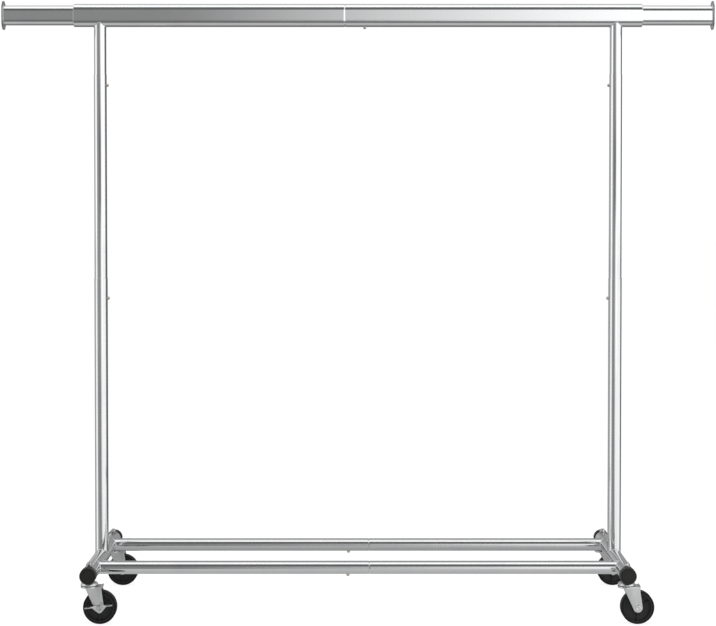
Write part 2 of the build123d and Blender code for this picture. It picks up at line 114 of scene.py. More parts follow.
def patchyFinish(name, shader, look):
    # Broad patches shift the colour and the gloss, and a fine grain stands in relief. Sizes are in mm.
    mat, tree, surface, place = startMaterial(name, shader)
    patches = addNode(tree, "ShaderNodeTexNoise", None, {
        "Vector": place, "Scale": 1000 / look["patchMm"], "Detail": look["patchDetail"],
    }).outputs["Fac"]
    stretched = addNode(
        tree, "ShaderNodeMapping", None, {"Vector": place, "Scale": look.get("stretch", (1, 1, 1))}
    )
    grain = addNode(tree, "ShaderNodeTexNoise", None, {
        "Vector": stretched.outputs["Vector"], "Scale": 1000 / look["grainMm"], "Detail": look["grainDetail"],
    })
    colour = addNode(tree, "ShaderNodeMix", {"data_type": "RGBA"}, {
        0: patches, 6: toLinear(look["dark"]), 7: toLinear(look["light"]),
    }).outputs[2]
    if look.get("paintedCreviceShade"):
        # Painted shade: ambient occlusion darkens the colour in the inside corners and recesses.
        openness = addNode(
            tree, "ShaderNodeAmbientOcclusion", {"samples": 8}, {"Distance": look["paintedCreviceShadeMm"] / 1000}
        )
        unshadedShare = addNode(tree, "ShaderNodeMapRange", None, {
            "Value": openness.outputs["AO"], "From Min": 0.45, "From Max": 0.85,
        })
        colour = addNode(tree, "ShaderNodeMix", {"data_type": "RGBA"}, {
            0: unshadedShare.outputs["Result"], 6: toLinear(look["paintedCreviceShade"]), 7: colour,
        }).outputs[2]
    low, high = look["rough"]
    rough = addNode(tree, "ShaderNodeMapRange", None, {
        "Value": patches, "From Min": 0.3, "From Max": 0.7, "To Min": low, "To Max": high,
    })
    bump = addNode(tree, "ShaderNodeBump", None, {
        "Height": grain.outputs["Fac"], "Strength": look["relief"], "Distance": look["reliefMm"] / 1000,
    })
    tree.links.new(colour, surface.inputs["Base Color"])
    tree.links.new(rough.outputs["Result"], surface.inputs["Roughness"])
    tree.links.new(bump.outputs["Normal"], surface.inputs["Normal"])
    return mat


def chromePlate(name, stretch, light="#cdcdcc", dark="#c4c5c8", rough=0.07):
    # Bright chrome plate over polished steel tube: mirror-like, with faint polishing lines along the tube.
    return patchyFinish(name, {"Metallic": 1.0, "Roughness": 0.09}, {
        "patchMm": 60, "patchDetail": 2,  # patches of haze
        "grainMm": 1.2, "grainDetail": 2, "stretch": stretch,  # polishing lines, coarse enough to show
        "light": light, "dark": dark, "rough": (rough, rough + 0.05), "relief": 0.05, "reliefMm": 0.02,
    })


def zincPlate(name, light, dark, roughLow, roughHigh, spangleMm):
    # Zinc plate on pressed steel: satin grey with a soft spangle and the press's own texture.
    return patchyFinish(name, {"Metallic": 1.0, "Roughness": 0.35}, {
        "patchMm": spangleMm, "patchDetail": 4,
        "grainMm": 0.6, "grainDetail": 3,  # pressing texture
        "light": light, "dark": dark, "rough": (roughLow, roughHigh), "relief": 0.15, "reliefMm": 0.05,
    })


def mouldedPlastic(name, light, dark, rough, grainMm, depthMm, gloss=0.3, paintedCreviceShade=None):
    # Black moulded plastic: spark-eroded grain and broad scuffing, with painted shade in the inside corners
    # when a shade colour is given.
    return patchyFinish(name, {"Roughness": rough, "IOR": 1.46, "Specular IOR Level": gloss}, {
        "patchMm": 14, "patchDetail": 4,  # scuffing
        "grainMm": grainMm, "grainDetail": 3,
        "light": light, "dark": dark, "rough": (rough - 0.06, rough + 0.08),
        "relief": 0.35, "reliefMm": depthMm, "paintedCreviceShade": paintedCreviceShade, "paintedCreviceShadeMm": 7,
    })


materials = {
    "chromeX": chromePlate("chromePlateAlongX", (0.02, 1, 1)),
    "chromeY": chromePlate("chromePlateAlongY", (1, 0.02, 1)),
    "chromeZ": chromePlate("chromePlateAlongZ", (1, 1, 0.02)),
    "chromeStamped": chromePlate("chromePlateStamped", (1, 0.05, 1), "#85868a", "#77787c", 0.16),
    "zincSatin": zincPlate("zincPlatePressed", "#d0d1d1", "#b7b8b9", 0.34, 0.5, 3),
    "zincBright": zincPlate("zincPlateBright", "#c8c9cb", "#b0b1b3", 0.18, 0.3, 2),
    "nickel": zincPlate("nickelPlateButton", "#c4c0b8", "#a8a49c", 0.14, 0.24, 2),
    "springSteel": zincPlate("springSteelTempered", "#70727a", "#585a60", 0.3, 0.4, 4),
    "capPlastic": mouldedPlastic("polyethyleneCapBlack", "#1f1f1d", "#161615", 0.42, 0.7, 0.03),
    # The wheel gets painted shade, #040404, in its recesses and along its ribs.
    "wheelPlastic": mouldedPlastic(
        "polypropyleneWheelBlack", "#2b2b2c", "#232324", 0.38, 0.9, 0.02, 0.2, "#040404"
    ),
    "treadRubber": mouldedPlastic("thermoplasticTreadBlack", "#161616", "#0e0e0e", 0.5, 1.2, 0.03, 0.2),
    "glidePlastic": mouldedPlastic("acetalGlideBlack", "#2a2a2a", "#202020", 0.35, 1.0, 0.01),
}
print("materials ready")


# ---------- mesh tools ----------
def finishMesh(name, mesh, mat, sharpDegrees=35):
    mesh.materials.clear()
    mesh.materials.append(mat)
    mesh.shade_smooth()
    mesh.set_sharp_from_angle(angle=math.radians(sharpDegrees))
    obj = bpy.data.objects.new(name, mesh)
    bpy.context.scene.collection.objects.link(obj)
    return obj


def outwards(bm):
    # A closed mesh whose volume comes out negative is inside out.
    if bm.calc_volume(signed=True) < 0:
        bmesh.ops.reverse_faces(bm, faces=bm.faces)


def meshFrom(name, rings, mat, closedLoop, sharpDegrees=35):
    # Rings of equally many points, joined in turn; the last joins the first, or both ends are filled.
    bm = bmesh.new()
    rows = [[bm.verts.new(p) for p in ring] for ring in rings]
    pairs = list(zip(rows, rows[1:]))
    if closedLoop:
        pairs.append((rows[-1], rows[0]))
    for first, second in pairs:
        for i in range(len(first)):
            j = (i + 1) % len(first)
            bm.faces.new((first[i], first[j], second[j], second[i]))
    if not closedLoop:
        bm.faces.new(rows[0])
        bm.faces.new(rows[-1])
    outwards(bm)
    mesh = bpy.data.meshes.new(name)
    bm.to_mesh(mesh)
    bm.free()
    return finishMesh(name, mesh, mat, sharpDegrees)


def roundSection(radius, count=96):
    def points(inset):
        turn = [2 * math.pi * i / count for i in range(count)]
        return [((radius - inset) * math.cos(a), (radius - inset) * math.sin(a)) for a in turn]
    return points


def flatOvalSection(depth, height, arcCount=40, edge=0.0005):
    # Half-round edges above and below two flats. An inset is one number, or one for height and one for depth.
    def points(inset):
        down, inward = inset if isinstance(inset, tuple) else (inset, inset)
        r = depth / 2 - inward
        flat = height / 2 - down - r
        out = []
        for way in (1, -1):
            for i in range(arcCount + 1):
                a = math.pi * (i / arcCount) + (0 if way > 0 else math.pi)
                out.append((r * math.cos(a), way * flat + r * math.sin(a)))
            for v in (flat - edge, 0, edge - flat):
                out.append((-way * r, way * v))
        return out
    return points


def ovalSection(depth, height, corner, arcCount=20, edge=0.0004):
    # A rounded rectangle; each flat has a point just inside its ends, so that it shades flat.
    def points(inset):
        r = corner - inset
        halfU = depth / 2 - inset
        halfV = height / 2 - inset
        out = []
        for quarter, (su, sv) in enumerate(((1, 1), (-1, 1), (-1, -1), (1, -1))):
            cu = su * (halfU - r)
            cv = sv * (halfV - r)
            for i in range(arcCount + 1):
                a = math.pi / 2 * (quarter + i / arcCount)
                out.append((cu + r * math.cos(a), cv + r * math.sin(a)))
            # the flat that follows this corner
            tangent = math.pi / 2 * (quarter + 1)
            du, dv = -math.sin(tangent), math.cos(tangent)
            flat = 2 * (halfU - r) if quarter % 2 == 0 else 2 * (halfV - r)
            last = out[-1]
            for step in (edge, flat / 2, flat - edge):
                out.append((last[0] + du * step, last[1] + dv * step))
        return out
    return points


def placeAlong(axis, centre):
    # Turns (distance along the axis, and the section's two coordinates) into a point.
    u0, v0 = centre
    if axis == "X":
        return lambda t, u, v: (t, u0 + u, v0 + v)
    if axis == "Y":
        return lambda t, u, v: (u0 + u, t, v0 + v)
    return lambda t, u, v: (u0 + u, v0 + v, t)


def tubeWall(start, end, wall, rim=0.0003, hold=0.0006):
    # The closed outline of a tube's wall, with a small round on both rims.
    way = 1 if end > start else -1
    return [
        (start + way * rim, 0), (start + way * (rim + hold), 0),
        (end - way * (rim + hold), 0), (end - way * rim, 0),
        (end, rim), (end, wall - rim),
        (end - way * rim, wall), (start + way * rim, wall),
        (start, wall - rim), (start, rim),
    ]


def sweepTube(name, axis, centre, section, outline, mat, copes=None, sharpDegrees=35):
    # Carries a wall's outline round a section. Outline points near a coped end follow its curve.
    put = placeAlong(axis, centre)
    rings = []
    for t, inset in outline:
        ring = []
        for u, v in section(inset):
            shift = 0
            for low, high, curve in copes or ():
                if low <= t <= high:
                    shift = curve(u, v)
            ring.append(put(t + shift, u, v))
        rings.append(ring)
    return meshFrom(name, rings, mat, True, sharpDegrees)


drillSet = {"holeR": 0.0043, "beside": 0.009, "reach": 0.036, "facets": 40}
# Tubes that a snap button passes through.
holesIn = {
    "hanging_bar_left": ["bar"], "hanging_bar_right": ["bar"],
    "front_rail_left": ["front_rail"], "front_rail_right": ["front_rail"],
    "rear_rail_left": ["rear_rail"], "rear_rail_right": ["rear_rail"],
}
for side in sides:
    holesIn[f"lower_upright_{side}"] = [f"lower_{side}"]
    holesIn[f"middle_upright_{side}"] = [f"lower_{side}", f"upper_{side}"]
    holesIn[f"top_stub_{side}"] = [f"upper_{side}"]


def drill(obj, node, button):
    # One wall is cut for a snap button. Two rings beside it keep the long faces whole.
    spot = centreOf(f"snap_button_{button}")
    start = centreOf(node)
    upright = button.split("_")[0] in ("lower", "upper")
    if upright:
        axis = Vector((0, 0, 1))
        aim = Vector((math.copysign(1, spot.x - start.x), 0, 0))
        start.z = spot.z
    else:
        axis = Vector((1, 0, 0))
        aim = Vector((0, 0, -1))
        start.x = spot.x
    bm = bmesh.new()
    bm.from_mesh(obj.data)
    for offset in (-drillSet["beside"], drillSet["beside"]):
        everything = bm.verts[:] + bm.edges[:] + bm.faces[:]
        bmesh.ops.bisect_plane(bm, geom=everything, plane_co=start + axis * offset, plane_no=axis)
    bm.to_mesh(obj.data)
    bm.free()
    bm = bmesh.new()
    turn = aim.to_track_quat("Z", "Y").to_matrix().to_4x4()
    middle = Matrix.Translation(start + aim * drillSet["reach"] / 2)
    bmesh.ops.create_cone(
        bm, cap_ends=True, segments=drillSet["facets"], radius1=drillSet["holeR"], radius2=drillSet["holeR"],
        depth=drillSet["reach"], matrix=middle @ turn,
    )
    bit = bpy.data.objects.new("drillBit", bpy.data.meshes.new("drillBit"))
    bm.to_mesh(bit.data)
    bm.free()
    bpy.context.scene.collection.objects.link(bit)
    cut = obj.modifiers.new("cut", "BOOLEAN")
    cut.operation = "DIFFERENCE"
    cut.solver = "EXACT"
    cut.object = bit
    bpy.context.view_layer.update()
    drilled = bpy.data.meshes.new_from_object(obj.evaluated_get(bpy.context.evaluated_depsgraph_get()))
    obj.modifiers.remove(cut)
    mat = obj.data.materials[0]
    drilled.materials.clear()
    drilled.materials.append(mat)
    drilled.shade_smooth()
    drilled.set_sharp_from_angle(angle=math.radians(35))
    drilled.name = obj.name
    obj.data = drilled
    bpy.data.objects.remove(bit)


def standFor(obj, node, body):
    for button in holesIn.get(node, ()):
        drill(obj, node, button)
    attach(obj, body)
    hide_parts(node)


# ---------- tubes ----------
rackBody = "rack"
baseSet = {
    "sideWall": 0.0012, "railWall": 0.0010, "uprightWall": 0.0006, "neckStep": 0.00105, "neckTaper": 0.003,
    "hold": 0.0006,  # a row of points this far from an edge keeps the long faces flat
    "copeReach": 0.01, "thinRim": 0.0002,
}
barSet = {
    "wall": 0.0010, "lip": 0.0015, "lipDown": 0.0028, "lipIn": 0.0007, "neckStep": 0.00105,
    "neckTaper": 0.004, "hold": 0.0008, "extensionWall": 0.0010, "plateCorner": 0.021, "plateEdge": 0.0006,
}
sideX = centreOf("side_tube_right").x
sideLow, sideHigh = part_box("side_tube_right")
sideR = (sideHigh.x - sideLow.x) / 2
baseZ = centreOf("side_tube_right").z


def sideTubes():
    for side in sides:
        low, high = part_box(f"side_tube_{side}")
        mid = centreOf(f"side_tube_{side}")
        tube = sweepTube(
            f"sideTube.{side}", "Y", (mid.x, mid.z), roundSection(sideR),
            tubeWall(low.y, high.y, baseSet["sideWall"]), materials["chromeY"],
        )
        standFor(tube, f"side_tube_{side}", rackBody)


def railTubes():
    # The outer end of each half is coped to the side tube; the right half is necked at the seam.
    for row in ("front", "rear"):
        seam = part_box(f"{row}_rail_left")[1].x
        mid = centreOf(f"{row}_rail_left")
        radius = (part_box(f"{row}_rail_left")[1].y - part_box(f"{row}_rail_left")[0].y) / 2
        wall = baseSet["railWall"]
        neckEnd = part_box(f"{row}_rail_right")[0].x

        def cope(sign):
            return lambda u, v: -sign * math.sqrt(max(sideR ** 2 - v ** 2, 0))

        left = sweepTube(
            f"rail.{row}.left", "X", (mid.y, mid.z), roundSection(radius),
            tubeWall(-sideX, seam, wall), materials["chromeX"],
            [(-sideX - baseSet["copeReach"], -sideX + baseSet["copeReach"], cope(-1))],
        )
        standFor(left, f"{row}_rail_left", rackBody)
        step = baseSet["neckStep"]
        taper, hold = baseSet["neckTaper"], baseSet["hold"]
        shoulder = seam + taper
        outline = [
            (sideX, 0), (sideX - hold, 0), (shoulder + 2 * hold, 0), (shoulder + hold, 0),
            (shoulder, step * 0.06), (seam + taper * 2 / 3, step * 0.3), (seam + taper / 3, step * 0.7),
            (seam, step), (neckEnd, step), (neckEnd, step + wall), (seam, step + wall),
            (shoulder, wall), (sideX - hold, wall), (sideX, wall),
        ]
        right = sweepTube(
            f"rail.{row}.right", "X", (mid.y, mid.z), roundSection(radius), outline,
            materials["chromeX"], [(sideX - 0.001, sideX + 0.001, cope(1))],
        )
        standFor(right, f"{row}_rail_right", rackBody)


def uprightTubes():
    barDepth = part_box("hanging_bar_right")[1].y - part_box("hanging_bar_right")[0].y
    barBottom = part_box("hanging_bar_right")[0].z
    barR = barDepth / 2

    def footCope(u, v):
        return math.sqrt(max(sideR ** 2 - u ** 2, 0))

    def barCope(u, v):
        return barR - math.sqrt(max(barR ** 2 - v ** 2, 0))

    wall, reach = baseSet["uprightWall"], baseSet["copeReach"]
    for side in sides:
        for piece in ("lower_upright", "middle_upright", "top_stub"):
            low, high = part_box(f"{piece}_{side}")
            mid = centreOf(f"{piece}_{side}")
            radius = (high.x - low.x) / 2
            start, end, copes = low.z, high.z, None
            if piece == "lower_upright":
                start = baseZ
                copes = [(start - reach, start + reach, footCope)]
            if piece == "top_stub":
                end = barBottom
                copes = [(end - reach, end + reach, barCope)]
            tube = sweepTube(
                f"{piece.replace('_', '.')}.{side}", "Z", (mid.x, mid.y), roundSection(radius),
                tubeWall(start, end, wall, baseSet["thinRim"]), materials["chromeZ"], copes,
            )
            standFor(tube, f"{piece}_{side}", rackBody)


def mouthOutline(mouth, way):
    # From the flat of the bar, over the turned-in lip, and back along the inside of the wall.
    lip, wall, hold = barSet["lip"], barSet["wall"], barSet["hold"]
    start = mouth - way * lip
    down, inward = barSet["lipDown"], barSet["lipIn"]
    outline = [(start - way * 2 * hold, 0), (start - way * hold, 0), (start, 0)]
    for i in range(1, 7):
        a = math.pi / 2 * i / 6
        share = 1 - math.cos(a)
        outline.append((start + way * lip * math.sin(a), (down * share, inward * share)))
    return outline + [
        (mouth, (down + wall, inward + wall)), (start - way * wall, (down + wall, inward + wall)),
        (start - way * wall, wall),
    ]


def hangingBar():
    mid = centreOf("hanging_bar_right")
    low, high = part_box("hanging_bar_right")
    section = flatOvalSection(high.y - low.y, high.z - low.z)
    wall, hold = barSet["wall"], barSet["hold"]
    seam = low.x
    right = [(seam + 0.0004, 0), (seam + 0.0004 + hold, 0)] + mouthOutline(high.x, 1) + [
        (seam + 0.0003, wall), (seam, wall - 0.0003), (seam, 0.0004),
    ]
    bar = sweepTube("hangingBar.right", "X", (mid.y, mid.z), section, right, materials["chromeX"])
    standFor(bar, "hanging_bar_right", rackBody)
    lowLeft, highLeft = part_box("hanging_bar_left")
    taper = barSet["neckTaper"]
    shoulder = seam - taper
    neckEnd, neck = highLeft.x, barSet["neckStep"]
    left = [(shoulder - hold, 0), (shoulder - 2 * hold, 0)] + mouthOutline(lowLeft.x, -1) + [
        (shoulder, wall), (seam, neck + wall), (neckEnd, neck + wall), (neckEnd, neck), (seam, neck),
        (seam - taper * 0.25, neck * 0.92), (seam - taper * 0.5, neck * 0.62),
        (seam - taper * 0.75, neck * 0.22), (shoulder, 0),
    ]
    bar = sweepTube("hangingBar.left", "X", (mid.y, mid.z), section, left, materials["chromeX"])
    standFor(bar, "hanging_bar_left", rackBody)


capSet = {
    "wall": 0.0013, "end": 0.002, "edge": 0.0018,
    "grooveR": 0.0152, "grooveHalf": 0.0007, "grooveDeep": 0.0005,  # a shallow ring in the face
}


def endCaps():
    for corner, (signX, signY) in corners.items():
        low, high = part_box(f"end_cap_{corner}")
        mid = centreOf(f"end_cap_{corner}")
        outer = (high.x - low.x) / 2
        face = high.y if signY > 0 else low.y
        mouth = low.y if signY > 0 else high.y
        edge, ring, half, deep = capSet["edge"], capSet["grooveR"], capSet["grooveHalf"], capSet["grooveDeep"]
        inner = outer - capSet["wall"]
        # (distance along Y, radius) from the middle of the face, over the side, and back inside.
        profile = [(face, 0.002), (face, ring - half), (face - signY * deep, ring - half * 0.4)]
        profile += [(face - signY * deep, ring + half * 0.4), (face, ring + half)]
        for i in range(7):
            a = math.pi / 2 * i / 6
            profile.append((face - signY * edge * (1 - math.cos(a)), outer - edge + edge * math.sin(a)))
        # The mouth is eased outside and in, so that the cap would slide on.
        profile += [
            (mouth + signY * 0.0006, outer), (mouth + signY * 0.0002, outer - 0.0002),
            (mouth, outer - 0.0005), (mouth, inner + 0.0004), (mouth + signY * 0.0004, inner),
            (face - signY * capSet["end"], inner), (face - signY * capSet["end"], 0.002),
        ]
        rings = []
        for t, r in profile:
            turn = [2 * math.pi * i / 72 for i in range(72)]
            rings.append([(mid.x + r * math.cos(a), t, mid.z + r * math.sin(a)) for a in turn])
        cap = meshFrom(f"endCap.{corner}", rings, materials["capPlastic"], False, 28)
        standFor(cap, f"end_cap_{corner}", rackBody)


def barExtensions():
    for side, sign in sides.items():
        low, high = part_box(f"extension_tube_{side}")
        mid = centreOf(f"extension_tube_{side}")
        section = flatOvalSection(high.y - low.y, high.z - low.z)
        tube = sweepTube(
            f"extensionTube.{side}", "X", (mid.y, mid.z), section,
            tubeWall(low.x, high.x, barSet["extensionWall"], baseSet["thinRim"]), materials["chromeX"],
        )
        standFor(tube, f"extension_tube_{side}", f"extension_{side}")
        low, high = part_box(f"end_plate_{side}")
        edge = barSet["plateEdge"]
        section = ovalSection(high.y - low.y, high.z - low.z, barSet["plateCorner"], 24)
        put = placeAlong("X", (mid.y, mid.z))
        stations = [
            (low.x, edge + 0.0008), (low.x, edge), (low.x + edge * 0.3, edge * 0.3), (low.x + edge, 0),
            (high.x - edge, 0), (high.x - edge * 0.3, edge * 0.3), (high.x, edge), (high.x, edge + 0.0008),
        ]
        rings = [[put(t, u, v) for u, v in section(inset)] for t, inset in stations]
        plate = meshFrom(f"endPlate.{side}", rings, materials["chromeStamped"], False)
        standFor(plate, f"end_plate_{side}", f"extension_{side}")


sideTubes()
railTubes()
uprightTubes()
hangingBar()
barExtensions()
endCaps()
print("tubes made")


# ---------- hardware carried over from the frame, with its edges eased ----------
def easedCopy(name, nodes, body, mat, width, segments=2, sharpDegrees=30):
    # Merges a node's triangles into whole faces, then rounds the edges that are sharp.
    bm = bmesh.new()
    for node in nodes:
        bm.from_mesh(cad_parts[node].data)
    bmesh.ops.remove_doubles(bm, verts=bm.verts, dist=1e-6)
    bmesh.ops.dissolve_limit(bm, angle_limit=math.radians(0.6), verts=bm.verts, edges=bm.edges)
    mesh = bpy.data.meshes.new(name)
    bm.to_mesh(mesh)
    bm.free()
    raw = bpy.data.objects.new(name + ".raw", mesh)
    bpy.context.scene.collection.objects.link(raw)
    bevel = raw.modifiers.new("ease", "BEVEL")
    bevel.width = width
    bevel.segments = segments
    bevel.limit_method = "ANGLE"
    bevel.angle_limit = math.radians(sharpDegrees)
    bevel.use_clamp_overlap = True
    bpy.context.view_layer.update()
    baked = bpy.data.meshes.new_from_object(raw.evaluated_get(bpy.context.evaluated_depsgraph_get()))
    baked.name = name
    bpy.data.objects.remove(raw)
    obj = finishMesh(name, baked, mat, 40)
    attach(obj, body)
    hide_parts(*nodes)
    return obj


for corner in corners:
    easedCopy(
        f"casterFork.{corner}", [f"caster_fork_{corner}"], f"caster_{corner}",
        materials["zincSatin"], 0.0006, 3,
    )
    easedCopy(
        f"casterAxle.{corner}", [f"caster_axle_{corner}"], f"caster_{corner}",
        materials["zincBright"], 0.0002,
    )
    easedCopy(
        f"wheel.{corner}", [f"wheel_{corner}"], f"wheel_{corner}",
        materials["wheelPlastic"], 0.0005,
    )
    easedCopy(
        f"tread.{corner}", [f"tread_{corner}"], f"wheel_{corner}",
        materials["treadRubber"], 0.0003,
    )
for corner in ("front_left", "rear_right"):
    easedCopy(
        f"brakeLever.{corner}", [f"brake_lever_{corner}"], f"brake_{corner}",
        materials["zincSatin"], 0.0005,
    )
for name in ("lower_left", "lower_right", "upper_left", "upper_right", "front_rail", "rear_rail", "bar"):
    easedCopy(
        f"snapButton.{name}", [f"snap_button_{name}"], f"button_{name}",
        materials["nickel"], 0.0001,
    )
easedCopy("casterCups", ["caster_cups"], rackBody, materials["zincSatin"], 0.0005)
easedCopy("casterNuts", ["caster_nuts"], rackBody, materials["zincBright"], 0.0005)
easedCopy("casterStems", ["caster_stems"], rackBody, materials["zincBright"], 0.0006)
easedCopy("footBolts", ["foot_bolts"], rackBody, materials["zincBright"], 0.0004)
print("hardware made")

carried = {
    "foot_inserts": "zincBright", "bearing_balls": "zincBright",
    "upright_springs": "springSteel", "rail_springs": "springSteel", "bar_spring": "springSteel",
    "extension_glides_left": "glidePlastic", "extension_glides_right": "glidePlastic",
}
for node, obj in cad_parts.items():
    key = carried.get(node)
    if key:
        obj.data.materials.clear()
        obj.data.materials.append(materials[key])
print("carried nodes finished")


# ---------- weld beads and screw threads ----------
def startGroup(name, inputs):
    # A geometry group whose named inputs are (name, socket type, default).
    group = bpy.data.node_groups.new(name, "GeometryNodeTree")
    group.interface.new_socket("Geometry", in_out="INPUT", socket_type="NodeSocketGeometry")
    for label, kind, default in inputs:
        item = group.interface.new_socket(label, in_out="INPUT", socket_type=kind)
        if default is not None:
            item.default_value = default
    group.interface.new_socket("Geometry", in_out="OUTPUT", socket_type="NodeSocketGeometry")
    return group, addNode(group, "NodeGroupInput").outputs, group.nodes.new("NodeGroupOutput")


def finishGroup(group, end, made, mat):
    # Realized, given its material, and smooth.
    real = addNode(group, "GeometryNodeRealizeInstances", None, {"Geometry": made})
    smooth = addNode(group, "GeometryNodeSetShadeSmooth", None, {"Geometry": real.outputs[0]})
    painted = addNode(
        group, "GeometryNodeSetMaterial", None, {"Geometry": smooth.outputs[0], "Material": mat}
    )
    group.links.new(painted.outputs[0], end.inputs[0])


def weldGroup():
    # Overlapping flattened drops along each path, one for every ripple of the weld.
    group, given, end = startGroup("weldRipples", [
        ("Spacing", "NodeSocketFloat", 0.0011), ("Bead Radius", "NodeSocketFloat", 0.0014),
        ("Seed", "NodeSocketInt", 3), ("Material", "NodeSocketMaterial", None),
    ])
    path = addNode(group, "GeometryNodeMeshToCurve", None, {"Mesh": given["Geometry"]})
    even = addNode(
        group, "GeometryNodeResampleCurve", {"mode": "LENGTH"},
        {"Curve": path.outputs[0], "Length": given["Spacing"]},
    )
    drop = addNode(group, "GeometryNodeMeshUVSphere", None, {
        "Segments": 10, "Rings": 7, "Radius": given["Bead Radius"],
    })
    tangent = addNode(group, "GeometryNodeInputTangent").outputs[0]
    turned = addNode(group, "FunctionNodeAlignRotationToVector", {"axis": "X"}, {"Vector": tangent})
    size = addNode(
        group, "FunctionNodeRandomValue", {"data_type": "FLOAT_VECTOR"},
        {0: (0.78, 0.86, 0.86), 1: (0.92, 1.0, 1.0), "Seed": given["Seed"]},
    )
    drops = addNode(group, "GeometryNodeInstanceOnPoints", None, {
        "Points": even.outputs[0], "Instance": drop.outputs["Mesh"],
        "Rotation": turned.outputs[0], "Scale": size.outputs[0],
    })
    finishGroup(group, end, drops.outputs[0], given["Material"])
    return group


def threadGroup():
    # A ridge wound round each screw's end.
    group, given, end = startGroup("screwThread", [
        ("Radius", "NodeSocketFloat", 0.005), ("Turns", "NodeSocketFloat", 3.0),
        ("Height", "NodeSocketFloat", 0.0033), ("Ridge", "NodeSocketFloat", 0.0003),
        ("Material", "NodeSocketMaterial", None),
    ])
    spiral = addNode(group, "GeometryNodeCurveSpiral", None, {
        "Resolution": 40, "Rotations": given["Turns"], "Start Radius": given["Radius"],
        "End Radius": given["Radius"], "Height": given["Height"],
    })
    ridge = addNode(
        group, "GeometryNodeCurvePrimitiveCircle", None, {"Resolution": 6, "Radius": given["Ridge"]}
    )
    wound = addNode(group, "GeometryNodeCurveToMesh", None, {
        "Curve": spiral.outputs[0], "Profile Curve": ridge.outputs[0], "Fill Caps": True,
    })
    placed = addNode(
        group, "GeometryNodeInstanceOnPoints", None,
        {"Points": given["Geometry"], "Instance": wound.outputs[0]},
    )
    finishGroup(group, end, placed.outputs[0], given["Material"])
    return group


def grownFrom(name, points, edges, group, values, body):
    # Runs a group on a mesh of points, and keeps the result as a plain mesh.
    seedMesh = bpy.data.meshes.new(name + ".path")
    seedMesh.from_pydata(points, edges, [])
    holder = bpy.data.objects.new(name + ".path", seedMesh)
    bpy.context.scene.collection.objects.link(holder)
    grow = holder.modifiers.new("grow", "NODES")
    grow.node_group = group
    for item in group.interface.items_tree:
        if item.item_type == "SOCKET" and item.in_out == "INPUT" and item.name in values:
            grow[item.identifier] = values[item.name]
    bpy.context.view_layer.update()
    graph = bpy.context.evaluated_depsgraph_get()
    grown = bpy.data.meshes.new_from_object(holder.evaluated_get(graph))
    grown.name = name
    holder.modifiers.remove(grow)
    bpy.data.objects.remove(holder)
    obj = bpy.data.objects.new(name, grown)
    bpy.context.scene.collection.objects.link(obj)
    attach(obj, body)
    return obj


def loopsOf(paths):
    points, edges = [], []
    for path in paths:
        first = len(points)
        points += path
        edges += [(first + i, first + (i + 1) % len(path)) for i in range(len(path))]
    return points, edges


def weldPaths():
    # The lines where the rails and uprights meet the side tubes, and where the stubs meet the bar.
    turn = [2 * math.pi * i / 120 for i in range(120)]
    paths = []
    barLow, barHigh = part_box("hanging_bar_right")
    barR = (barHigh.y - barLow.y) / 2
    for side, sign in sides.items():
        for row in ("front", "rear"):
            low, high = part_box(f"{row}_rail_{side}")
            mid = centreOf(f"{row}_rail_{side}")
            r = (high.z - low.z) / 2
            path = []
            for a in turn:
                v = r * math.sin(a)
                inward = sideX - math.sqrt(sideR ** 2 - v ** 2)
                path.append((sign * inward, mid.y + r * math.cos(a), baseZ + v))
            paths.append(path)
        low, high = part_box(f"lower_upright_{side}")
        r = (high.x - low.x) / 2
        path = []
        for a in turn:
            u = r * math.cos(a)
            path.append((sign * sideX + u, r * math.sin(a), baseZ + math.sqrt(sideR ** 2 - u ** 2)))
        paths.append(path)
        low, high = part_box(f"top_stub_{side}")
        r = (high.x - low.x) / 2
        path = []
        for a in turn:
            v = r * math.sin(a)
            path.append((sign * sideX + r * math.cos(a), v, barLow.z + barR - math.sqrt(barR ** 2 - v ** 2)))
        paths.append(path)
    return paths


welds = weldGroup()
threads = threadGroup()
beadValues = {"Spacing": 0.0011, "Bead Radius": 0.0013, "Seed": 3, "Material": materials["chromeY"]}
beadPoints, beadEdges = loopsOf(weldPaths())
grownFrom("weldBeads.rack", beadPoints, beadEdges, welds, beadValues, rackBody)
for side, sign in sides.items():
    low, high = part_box(f"extension_tube_{side}")
    mid = centreOf(f"extension_tube_{side}")
    section = flatOvalSection(high.y - low.y, high.z - low.z)(0)
    faceX = high.x if sign > 0 else low.x
    beadPoints, beadEdges = loopsOf([[(faceX, mid.y + u, mid.z + v) for u, v in section]])
    grownFrom(
        f"weldBeads.extension.{side}", beadPoints, beadEdges, welds, beadValues,
        f"extension_{side}",
    )
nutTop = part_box("caster_nuts")[1].z
stemPoints = []
for signX, signY in corners.values():
    stemY = centreOf("wheel_front_left").y if signY < 0 else centreOf("wheel_rear_left").y
    stemPoints.append((signX * sideX, stemY, nutTop + 0.0004))  # just clear of the nut
grownFrom(
    "stemThreads", stemPoints, [], threads,
    {"Radius": 0.0049, "Turns": 3.0, "Height": 0.003, "Ridge": 0.0003, "Material": materials["zincBright"]},
    rackBody,
)
print("welds and threads made")


# ---------- studio ----------
# Light levels run from 0 to 2, where 1 is an evenly lit white wall.
studioSet = {
    "room": 0.6, "dim": 0.4, "dark": 0.2, "bright": 1.75,
    "softboxHeight": 4.0, "softboxFront": -1.8, "softboxBack": 2.0, "softboxHalf": 5.0,
    "screenY": -5.4, "screenLeft": -9.0, "screenRight": 4.0, "screenTop": 2.45,  # stands behind the viewer
    "floorHalf": 30.0, "sheenFrom": 0.6, "sheenFull": 0.85,  # from face on, 0, to edge on, 1
    "whiteBehind": 1.05, "paleFloor": 0.88,
}
room, dim, dark, bright = (studioSet[key] for key in ("room", "dim", "dark", "bright"))
